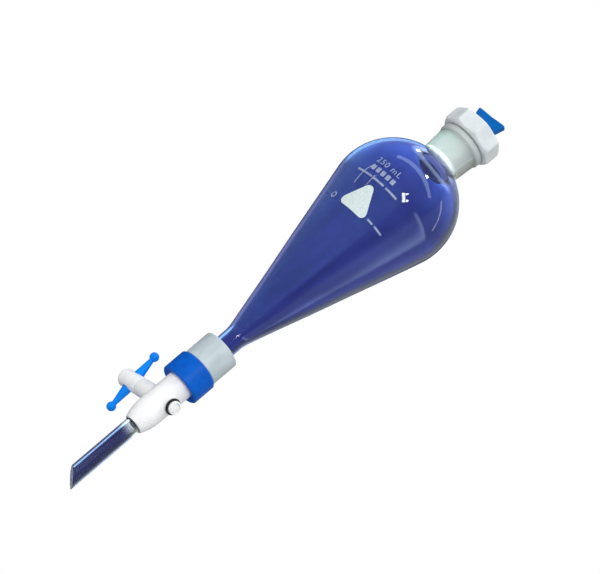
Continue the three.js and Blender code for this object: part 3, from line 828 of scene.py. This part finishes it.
def make_stopper():
    """The tapered plug, hollow from below, with an eight-sided head slotted for the grip."""
    corner = HEAD_APOTHEM / math.cos(math.pi / 8)

    def joint_radius(height):
        return JOINT_MOUTH_RADIUS - JOINT_SLOPE * (MOUTH_HEIGHT - height) - STOPPER_FIT

    outline = rounded([
        (0, STOPPER_HOLLOW_TOP),
        (STOPPER_HOLLOW_RADIUS, STOPPER_HOLLOW_TOP, 1.5),
        (STOPPER_HOLLOW_RADIUS, STOPPER_BOTTOM, 0.5),
        (joint_radius(STOPPER_BOTTOM), STOPPER_BOTTOM, 0.8),
        (joint_radius(MOUTH_HEIGHT), MOUTH_HEIGHT),
        (joint_radius(MOUTH_HEIGHT), HEAD_UNDERSIDE, 0.3),
        (RIM_RADIUS + 0.4, HEAD_UNDERSIDE, 0.5),
        (HEAD_APOTHEM + 0.2, HEAD_UNDERSIDE + 0.4 * HEAD_FLARE, 1),
        (corner + 0.1, HEAD_UNDERSIDE + HEAD_FLARE, 1),
        (corner + 0.1, HEAD_TOP - 0.9),
        (corner - 0.8, HEAD_TOP, 0.6),
        (0, HEAD_TOP),
    ])

    def facet(radius, height, angle):
        return np.where(radius > RIM_RADIUS, smooth_min(radius, octagon(angle), 0.5), radius), height

    slot_place = Matrix.Rotation(GRIP_ANGLE, 4, "Z")
    half_width = GRIP_BASE_WIDTH / 2 + SLOT_GAP
    half_depth = GRIP_THICKNESS / 2 + SLOT_GAP
    slot = block(
        "slot",
        (-half_width, -half_depth, HEAD_TOP - TENON_DEPTH - SLOT_GAP),
        (half_width, half_depth, HEAD_TOP + 4),
        slot_place,
    )
    plug = revolve("stopper", divided(outline, 0.7), 256, facet)
    combine(plug, [slot], "DIFFERENCE")
    dress(plug, "stopper", "natural_plastic", "stopper_plastic", node="stopper_plug")


def grip_ring(height, inset):
    """One level of the grip: a slab that widens upwards, with hollowed faces."""
    above = max(height - GRIP_FOOT, 0)
    rise = above / (GRIP_TOP - GRIP_FOOT)
    half_width = GRIP_BASE_WIDTH / 2 + rise * (GRIP_TOP_WIDTH - GRIP_BASE_WIDTH) / 2 - inset
    flank = min(1, above / 1.6)
    points = []
    for a in np.linspace(0, 2 * math.pi, 73)[:-1]:
        # A superellipse gives the slab's plan its rounded corners.
        x = half_width * math.copysign(abs(math.cos(a)) ** 0.16, math.cos(a))
        hollow = GRIP_WAIST / 2 + GRIP_THUMB_RADIUS - math.sqrt(GRIP_THUMB_RADIUS**2 - x * x)
        full = GRIP_THICKNESS / 2
        half_depth = full + flank * (min(hollow, full) - full) - inset
        y = half_depth * math.copysign(abs(math.sin(a)) ** 0.22, math.sin(a))
        points.append((x, y, height))
    return points


def make_grip():
    """The blue tab, from its tenon in the slot up to its rounded top edge."""
    bottom = HEAD_TOP - TENON_DEPTH
    levels = [(bottom, 0.4), (bottom + 0.4, 0), (HEAD_TOP - 0.4, 0)]
    levels += [(height, 0) for height in np.linspace(GRIP_FOOT, GRIP_TOP - GRIP_EDGE, 15)]
    for turn in np.linspace(0.3, math.pi / 2, 6):
        levels.append((GRIP_TOP - GRIP_EDGE * (1 - math.sin(turn)), GRIP_EDGE * (1 - math.cos(turn))))
    rings = [grip_ring(height, inset) for height, inset in levels]
    grip = loft("stopper_tab", rings, Matrix.Rotation(GRIP_ANGLE, 4, "Z"))
    dress(grip, "stopper", "blue_plastic", "grip_plastic", node="stopper_grip")


# ---- the coupling ----


def flat_ring(inside, outside, bottom, top, fillets, steps=3):
    """The section of a flat ring, with a fillet at each corner."""
    corners = ((inside, bottom), (outside, bottom), (outside, top), (inside, top))
    return rounded([(*corner, fillet) for corner, fillet in zip(corners, fillets)], steps)


def thread_ridge(height, angle):
    """How far a right-handed thread's ridge has risen at a point, from 0 to 1."""
    phase = np.mod((height - NUT_TOP) / THREAD_PITCH - angle / (2 * math.pi), 1)
    return np.clip(1.5 - np.abs(phase - 0.5) * 4.6, 0, 1)


def thread_fade(height, bottom, top):
    """1 along a thread, running out to 0 at its ends."""
    return np.clip((height - bottom) / THREAD_FADE, 0, 1) * np.clip((top - height) / THREAD_FADE, 0, 1)


def make_collar():
    """The sleeve round the outlet tube, with a threaded spigot below."""
    thread_top = COLLAR_STEP - 0.4
    outline = rounded([
        (COLLAR_FLANGE_BORE, SPIGOT_END, 0.2),
        (SPIGOT_RADIUS, SPIGOT_END, 0.5),
        (SPIGOT_RADIUS, COLLAR_STEP),
        (COLLAR_RADIUS, COLLAR_STEP, 0.3),
        (COLLAR_RADIUS, COLLAR_TOP, 0.8),
        (COLLAR_SLEEVE_BORE, COLLAR_TOP, 0.5),
        (COLLAR_SLEEVE_BORE, SPLIT_RING_SHOULDER + 0.2),
        (COLLAR_FLANGE_BORE, SPLIT_RING_SHOULDER + 0.2),
    ])

    def threaded(radius, height, angle):
        ridge = thread_ridge(height, angle) * thread_fade(height, SPIGOT_END + 0.3, thread_top)
        root = SPIGOT_RADIUS - THREAD_DEPTH * (1 - ridge)
        return np.where(height < thread_top, np.minimum(radius, root), radius), height

    collar = revolve("threaded_collar", divided(outline, 0.3), FINE, threaded)
    dress(collar, "glass", "natural_plastic", node="coupling_collar")


def make_split_ring(name, node, start):
    """Half of the ring that grips the glass above its bead."""
    outline = rounded([
        (SPLIT_RING_BORE, SPLIT_RING_BOTTOM, 0.3),
        (SPLIT_RING_FLANGE_RADIUS, SPLIT_RING_BOTTOM, 0.3),
        (SPLIT_RING_FLANGE_RADIUS, SPLIT_RING_SHOULDER, 0.3),
        (BEAD_RADIUS, SPLIT_RING_SHOULDER),
        (BEAD_RADIUS, COLLAR_TOP - 0.2, 0.3),
        (SPLIT_RING_BORE, COLLAR_TOP - 0.2, 0.3),
    ], 3)
    gap = math.radians(1.2)
    ring = revolve(name, outline, MEDIUM, sweep=(start + gap, start + math.pi - gap))
    dress(ring, "glass", "natural_plastic", node=node)


def make_thrust_ring():
    """The slip washer under the valve body's flange."""
    bottom, top = low("thrust_ring", Z), high("thrust_ring", Z)
    outline = flat_ring(VALVE_RADIUS + 0.35, NUT_BORE - 0.4, bottom, top, [0.15] * 4)
    dress(revolve("slip_washer", outline), "slip_ring", "white_fluoropolymer", node="thrust_ring")


def make_nut():
    """The union nut: its thread takes the collar and its shoulder lifts the valve."""
    thread_root = NUT_BORE + 0.2
    outline = rounded([
        (NUT_NECK_BORE, NUT_BOTTOM + 1.2),
        (NUT_NECK_BORE + 1.2, NUT_BOTTOM, 0.3),
        (NUT_RADIUS - 0.6, NUT_BOTTOM, 0.3),
        (NUT_RADIUS, NUT_BOTTOM + 0.6, 0.4),
        (NUT_RADIUS, NUT_TOP - 0.9, 0.4),
        (NUT_RADIUS - 0.9, NUT_TOP, 0.3),
        (thread_root, NUT_TOP, 0.15),
        (thread_root, NUT_SHOULDER),
        (NUT_NECK_BORE, NUT_SHOULDER, 0.2),
    ], 4)

    def threaded(radius, height, angle):
        inside = np.where((np.abs(radius - thread_root) < 0.1) & (height > NUT_SHOULDER + 0.1), 1, 0)
        ridge = (1 - thread_ridge(height, angle)) * thread_fade(height, NUT_THREAD_END, NUT_TOP - 0.5)
        return radius - inside * THREAD_DEPTH * ridge, height

    nut = revolve("coupling_nut", divided(outline, 0.3), FINE, threaded)
    dress(nut, "nut", "blue_plastic", node="union_nut")


# ---- the valve ----


def plug_bore(x):
    """The plug bore's radius, which tapers from the barrel's end to the boss's."""
    along = (x - BARREL_END) / (BOSS_END - BARREL_END)
    return BORE_WIDE_RADIUS + along * (BORE_NARROW_RADIUS - BORE_WIDE_RADIUS)


def make_valve():
    """The valve body: a column with a flange and a nose, and a barrel across it."""
    drop = VALVE_RADIUS - NOSE_RADIUS
    length = NOSE_START - NOSE_END
    ogive = (length**2 + drop**2) / (2 * drop)
    nose = arc(VALVE_RADIUS - ogive, NOSE_START, ogive, -math.asin(length / ogive), 0, 24)
    column = revolve("valve", rounded([
        (0, NOSE_END),
        *nose,
        (VALVE_RADIUS, FLANGE_BOTTOM, 0.4),
        (FLANGE_RADIUS, FLANGE_BOTTOM, 0.3),
        (FLANGE_RADIUS, FLANGE_TOP, 0.4),
        (0, FLANGE_TOP),
    ]), FINE)
    barrel = revolve("barrel", rounded([
        (0, BARREL_END),
        (BARREL_RADIUS, BARREL_END, 0.4),
        (BARREL_RADIUS, 0),
        (BOSS_RADIUS, 0),
        (BOSS_RADIUS, BOSS_END, 0.3),
        (0, BOSS_END),
    ], 4), MEDIUM, place=along_x(PLUG_HEIGHT))
    combine(column, [barrel], "UNION")
    start, end = BARREL_END - 1, BOSS_END + 1
    bore = rod(plug_bore(start), start, end, plug_bore(end), place=along_x(PLUG_HEIGHT))
    passage = revolve("passage", [
        (0, SOCKET_TOP - 1),
        (PASSAGE_RADIUS, SOCKET_TOP - 1),
        (PASSAGE_RADIUS, PASSAGE_TOP),
        (INLET_RADIUS, INLET_FOOT),
        (INLET_RADIUS, FLANGE_TOP + 1),
        (0, FLANGE_TOP + 1),
    ], MEDIUM)
    socket = rod(SOCKET_RADIUS, NOSE_END + 1.5, SOCKET_TOP)
    lip = rod(LIP_RADIUS, NOSE_END - 1, NOSE_END + 2)
    groove_bottom, groove_top = STEM_SEAL_HEIGHT - SEAL_GROOVE_HALF, STEM_SEAL_HEIGHT + SEAL_GROOVE_HALF
    stem_groove = rod(SEAL_GROOVE_RADIUS, groove_bottom, groove_top)
    inside, outside = COUPLING_SEAL_RADIUS - FACE_GROOVE_HALF, COUPLING_SEAL_RADIUS + FACE_GROOVE_HALF
    base, over = GLASS_END - FACE_GROOVE_DEPTH, FLANGE_TOP + 1
    section = [(inside, base), (outside, base), (outside, over), (inside, over)]
    top_groove = revolve("groove", section, MEDIUM)
    # The plug bore is cut last: cut before the passage, it left slivers where they cross.
    combine(column, [passage, socket, lip, stem_groove, top_groove, bore], "DIFFERENCE")
    dress(column, "valve", "white_fluoropolymer", node="valve_body")


def make_plug():
    """The tapered plug, with its cross bore and the two seats for the handle's arms."""
    head_start = BARREL_END - 0.3
    shaft_end = BOSS_END - 0.4
    plug = revolve("plug", rounded([
        (0, PLUG_HEAD_END),
        (BARREL_RADIUS, PLUG_HEAD_END, 1.6),
        (BARREL_RADIUS, head_start, 0.3),
        (plug_bore(head_start) - PLUG_FIT, head_start),
        (plug_bore(shaft_end) - PLUG_FIT, shaft_end),
        (TIP_RADIUS, shaft_end),
        (TIP_RADIUS, TIP_END, 0.4),
        (0, TIP_END),
    ]), MEDIUM, place=plug_place() @ Matrix.Rotation(math.pi / 2, 4, "Y"))
    beyond = 8
    cuts = [rod(CROSS_BORE_RADIUS, -6, 6, facets=64, place=plug_place())]
    for flip in (False, True):
        place = plug_place(HANDLE_OFFSET, flip)
        cuts.append(rod(PEG_RADIUS + 0.2, PEG_ROOT - 0.2, beyond, facets=64, place=place))
        cuts.append(rod(ARM_FOOT_RADIUS + 0.3, ARM_FOOT - 0.2, beyond, facets=64, place=place))
    combine(plug, cuts, "DIFFERENCE")
    dress(plug, "plug", "white_fluoropolymer", node="stopcock_plug")


def make_arm(name, node, flip):
    """One arm of the handle: a peg, a tapered rod and a ball."""
    ball_foot = -math.sqrt(ARM_BALL_RADIUS**2 - ARM_NECK_RADIUS**2)
    ball_angle = math.asin(ball_foot / ARM_BALL_RADIUS)
    ball = arc(0, ARM_REACH, ARM_BALL_RADIUS, ball_angle, math.pi / 2, 28)[1:-1]
    outline = rounded([
        (0, PEG_ROOT),
        (PEG_RADIUS, PEG_ROOT, 0.3),
        (PEG_RADIUS, ARM_FOOT),
        (ARM_FOOT_RADIUS, ARM_FOOT, 0.3),
        (ARM_FOOT_RADIUS, ARM_FOOT + 0.9, 1.2),
        (ARM_NECK_RADIUS, ARM_REACH + ball_foot, 0.7),
        *ball,
        (0, ARM_REACH + ARM_BALL_RADIUS),
    ])
    arm = revolve(name, outline, MEDIUM, place=plug_place(HANDLE_OFFSET, flip))
    dress(arm, "plug", "blue_plastic", "handle_plastic", node=node)


def make_ring(name, node, body, middle_radius, height, section, place=None):
    """A seal of round section."""
    outline = arc(middle_radius, height, section, 0, 2 * math.pi, 24)[:-1]
    dress(revolve(name, outline, MEDIUM, place=place), body, "black_rubber", node=node)


def make_plug_end():
    """The washer, the O-ring and the tension nut on the plug's small end."""
    place = along_x(PLUG_HEIGHT)
    fillets = [0.1, 0.15, 0.15, 0.1]
    outline = flat_ring(TIP_RADIUS + 0.2, WASHER_RADIUS, WASHER_START, WASHER_END, fillets)
    washer = revolve("washer", outline, MEDIUM, place=place)
    dress(washer, "plug", "white_fluoropolymer", node="plug_washer")
    middle = (WASHER_END + TENSION_NUT_START) / 2
    make_ring(
        "tension_ring", "tension_o_ring", "plug",
        WASHER_RADIUS - TENSION_RING_SECTION, middle, TENSION_RING_SECTION, place,
    )
    ends = (TENSION_NUT_START, TENSION_NUT_END)
    outline = flat_ring(TIP_RADIUS + 0.15, TENSION_NUT_RADIUS, *ends, [0.1, 0.3, 0.6, 0.3], 5)
    nut = revolve("small_nut", outline, MEDIUM, place=place)
    dress(nut, "tension", "white_fluoropolymer", node="tension_nut")


def make_stem():
    """The drip stem, cut off at a bevel whose face is ground."""
    stem = revolve("stem_tube", divided(rounded([
        (STEM_BORE, TIP_MIDDLE - TIP_TRIM),
        (STEM_RADIUS, TIP_MIDDLE - TIP_TRIM),
        (STEM_RADIUS, STEM_TOP, 0.9),
        (STEM_BORE, STEM_TOP, 0.7),
    ]), 4), MEDIUM)
    bevel = (
        Matrix.Translation((0, 0, TIP_MIDDLE * MM))
        @ Matrix.Rotation(TIP_LONG_SIDE_ANGLE, 4, "Z")
        @ Matrix.Rotation(TIP_BEVEL, 4, "Y")
    )
    below = block("below", (-TIP_CUTTER, -TIP_CUTTER, -TIP_CUTTER), (TIP_CUTTER, TIP_CUTTER, 0), bevel)
    combine(stem, [below], "DIFFERENCE")
    dress(stem, "stem", "tinted_glass", "stem_glass", "ground_glass", node="drip_stem")
    tip_normal = (bevel.to_3x3() @ Vector((0, 0, -1))).normalized()
    repaint(stem, 1, lambda centre, normal: normal.dot(tip_normal) > 0.99)
    return stem


# ---- camera, lights and floor ----


def view_axes():
    """The camera's right, up and back directions in the frame."""
    flat_back = Vector((math.cos(VIEW_AZIMUTH), math.sin(VIEW_AZIMUTH), 0))
    flat_right = Vector((-math.sin(VIEW_AZIMUTH), math.cos(VIEW_AZIMUTH), 0))
    back = flat_back * math.cos(VIEW_ELEVATION) + Vector((0, 0, math.sin(VIEW_ELEVATION)))
    level_up = back.cross(flat_right)
    right = flat_right * math.cos(VIEW_ROLL) + level_up * math.sin(VIEW_ROLL)
    return right, back.cross(right), back


RIGHT, UP, BACK = view_axes()


def make_camera():
    """The photograph's viewpoint."""
    data = bpy.data.cameras.new("camera")
    data.lens = LENS
    data.sensor_width = SENSOR
    data.clip_end = 20
    camera = bpy.data.objects.new("camera", data)
    bpy.context.scene.collection.objects.link(camera)
    place = BACK * VIEW_DISTANCE + RIGHT * AIM_RIGHT + UP * AIM_UP + Vector((0, 0, AIM_HEIGHT))
    turn = Matrix((RIGHT, UP, BACK)).transposed().to_4x4()
    camera.matrix_world = Matrix.Translation(place * MM) @ turn
    bpy.context.scene.camera = camera


def seen(right, up, back):
    """A direction in the frame, given as the camera sees it."""
    return (RIGHT * right + UP * up + BACK * back).normalized()


def softbox(name, direction, distance, size, radiance, shines=True, colour=(1, 1, 1)):
    """An area light aimed at the bulb, in metres. One that doesn't shine isn't mirrored in
    the object, and none is seen through the glass."""
    toward = seen(*direction)
    data = bpy.data.lights.new(name, "AREA")
    data.shape = "RECTANGLE"
    data.size, data.size_y = size
    data.energy = radiance * math.pi * size[0] * size[1]
    data.color = colour
    light = bpy.data.objects.new(name, data)
    bpy.context.scene.collection.objects.link(light)
    side = UP.cross(toward).normalized()
    turn = Matrix((side, toward.cross(side), toward)).transposed().to_4x4()
    light.matrix_world = Matrix.Translation(Vector((0, 0, BULB_CENTRE * MM)) + toward * distance) @ turn
    light.visible_camera = False
    light.visible_glossy = shines
    light.visible_transmission = False
    return light


def keep_off(light, piece):
    """Leaves one piece out of what a light reaches."""
    missed = bpy.data.collections.new(light.name + "_misses")
    missed.objects.link(piece)
    missed.collection_objects[0].light_linking.link_state = "EXCLUDE"
    light.light_linking.receiver_collection = missed


def make_lights(stem):
    """Three soft lights that shape the object, and small bright ones that it mirrors."""
    softbox("key", (-0.5, 0.6, 0.62), 1.8, (1.0, 0.8), 2.6, shines=False)
    softbox("fill", (0.45, -0.2, 0.87), 1.9, (0.9, 0.9), 0.6, shines=False)
    softbox("behind", (0, 0.1, -1), 1.8, (0.7, 0.7), 3, shines=False)
    # A bar with a foot and a top draws the bracket-shaped highlight on the bulb. In the
    # stem it would draw a dotted line instead.
    window = [
        softbox("window_bar", (0.27, 0.15, 0.95), 1.7, (0.15, 0.48), 24),
        softbox("window_top", (0.37, 0.25, 0.89), 1.7, (0.17, 0.1), 24),
        softbox("window_foot", (0.37, 0.05, 0.93), 1.7, (0.15, 0.12), 24),
    ]
    for pane in window:
        keep_off(pane, stem)
    softbox("overhead", (0.62, 0.72, 0.3), 1.5, (0.22, 2.4), 3.5, colour=(0.75, 0.9, 1))
    softbox("side_strip", (0.95, -0.27, 0), 1.5, (0.07, 1.1), 4)
    softbox("glint", (-0.47, 0.71, 0.52), 1.5, (0.14, 0.05), 6)
    softbox("spark", (0.76, 0.61, 0.22), 1.5, (0.12, 0.12), 60)
    softbox("far_spark", (0.39, 0.79, -0.49), 1.5, (0.1, 0.1), 60)


def soft_light(room, direction):
    """What lights matt surfaces: white from the front, grey from behind."""
    front = room.between(room.along(direction, BACK), -0.3, 0.5)
    return room.mix(front, (0.3, 0.3, 0.32), (0.68, 0.68, 0.68))


def mirrored_light(room, direction):
    """What polished surfaces mirror: a dark room with a pale card below, a low glow along
    the cone, a ring round the neck, and a pale rim behind."""
    card = room.between(room.along(direction, seen(-0.08, 0.8, 0.6)), 0.02, -0.1)
    card = room.product(card, room.between(room.along(direction, RIGHT), 0.2, 0.5))
    light = room.mix(card, (0.04, 0.05, 0.1), (0.4, 0.43, 0.5))
    climb = room.along(direction, (0, 0, 1))
    glow = room.between(room.along(direction, seen(0.62, -0.66, 0.42)), 0.82, 0.95)
    glow = room.product(glow, room.between(climb, -0.1, 0.0, 0.1, 1))
    glow = room.product(glow, room.between(climb, 0.07, 0.01))
    light = room.mix(glow, light, (2.2, 2.9, 3.8))
    around = room.along(direction, seen(0.66, 0.56, -0.5))
    ring = room.product(room.between(around, 0.88, 0.93), room.between(around, 0.965, 0.95))
    light = room.mix(ring, light, (2.6, 3.5, 5.2))
    toward = room.along(direction, BACK)
    rim = room.product(room.between(toward, -0.3, -0.6), room.between(toward, -0.94, -0.88))
    low_side = room.between(room.along(direction, seen(0.7, -0.71, 0)), 0.15, 0.35)
    return room.mix(room.product(rim, low_side), light, (0.5, 0.52, 0.42))


def through_light(room, direction):
    """What shows through the glass: white, blue-green to the upper left, grey at the lower
    right, and bright from straight above."""
    rise = room.along(direction, seen(0.6, 0.8, 0))
    light = room.mix(room.between(rise, -0.2, -0.02), (0.6, 0.6, 0.57), (1, 1, 1))
    left = room.between(room.along(direction, RIGHT), 0.4, 0.15)
    boost = room.product(room.between(rise, 0.03, 0.16), left)
    light = room.mix(boost, light, (2.3, 3.8, 3.4))
    low_edge = room.between(room.along(direction, seen(0.8, -0.6, 0)), 0.16, 0.36)
    light = room.mix(low_edge, light, (0.32, 0.32, 0.26))
    return room.mix(room.between(rise, 0.3, 0.6), light, (1.6, 1.6, 1.6))


def make_world():
    """A studio whose light depends on the kind of ray that sees it, plain white for the camera."""
    world = bpy.data.worlds.new("studio")
    world.use_nodes = True
    bpy.context.scene.world = world
    room = Nodes(world.node_tree)
    ray = room.node("LightPath").outputs
    direction = room.node("TexCoord").outputs["Generated"]
    light = room.mix(ray["Is Glossy Ray"], soft_light(room, direction), mirrored_light(room, direction))
    light = room.mix(ray["Is Transmission Ray"], light, through_light(room, direction))
    light = room.mix(ray["Is Camera Ray"], light, (1, 1, 1))
    room.link(light, world.node_tree.nodes["Background"].inputs["Color"])


def make_floor():
    """A plain pale floor that only the camera sees."""
    bottom = FLOOR_TOP - FLOOR_THICKNESS
    floor = block("floor", (-FLOOR_REACH, -FLOOR_REACH, bottom), (FLOOR_REACH, FLOOR_REACH, FLOOR_TOP))
    shader = Shader("floor", Roughness=0.8, Emission_Strength=0.3)
    shader.surface.inputs["Emission Color"].default_value = (1, 1, 1, 1)
    shader.mottled(shader.noise(300, detail=4), (0.8, 0.8, 0.8), (0.84, 0.84, 0.84))
    floor.data.materials.append(shader.material)
    floor.visible_transmission = floor.visible_glossy = floor.visible_diffuse = False


# ---- the build ----

make_camera()
make_glass()
make_marks()
make_stopper()
make_grip()
make_collar()
for side, start in (("left", math.pi / 2), ("right", -math.pi / 2)):
    make_split_ring(f"half_ring_{side}", f"split_ring_{side}", start)
make_thrust_ring()
make_nut()
make_valve()
make_ring(
    "coupling_seal", "coupling_o_ring", "valve",
    COUPLING_SEAL_RADIUS, GLASS_END - SEAL_SECTION - 0.1, SEAL_SECTION,
)
make_ring(
    "stem_seal", "stem_o_ring", "valve",
    STEM_RADIUS + SEAL_SECTION + 0.12, STEM_SEAL_HEIGHT, SEAL_SECTION,
)
make_plug()
make_arm("upper_arm", "handle_arm_upper", False)
make_arm("lower_arm", "handle_arm_lower", True)
make_plug_end()
make_lights(make_stem())
make_world()
make_floor()

bpy.context.scene.view_settings.view_transform = "Standard"
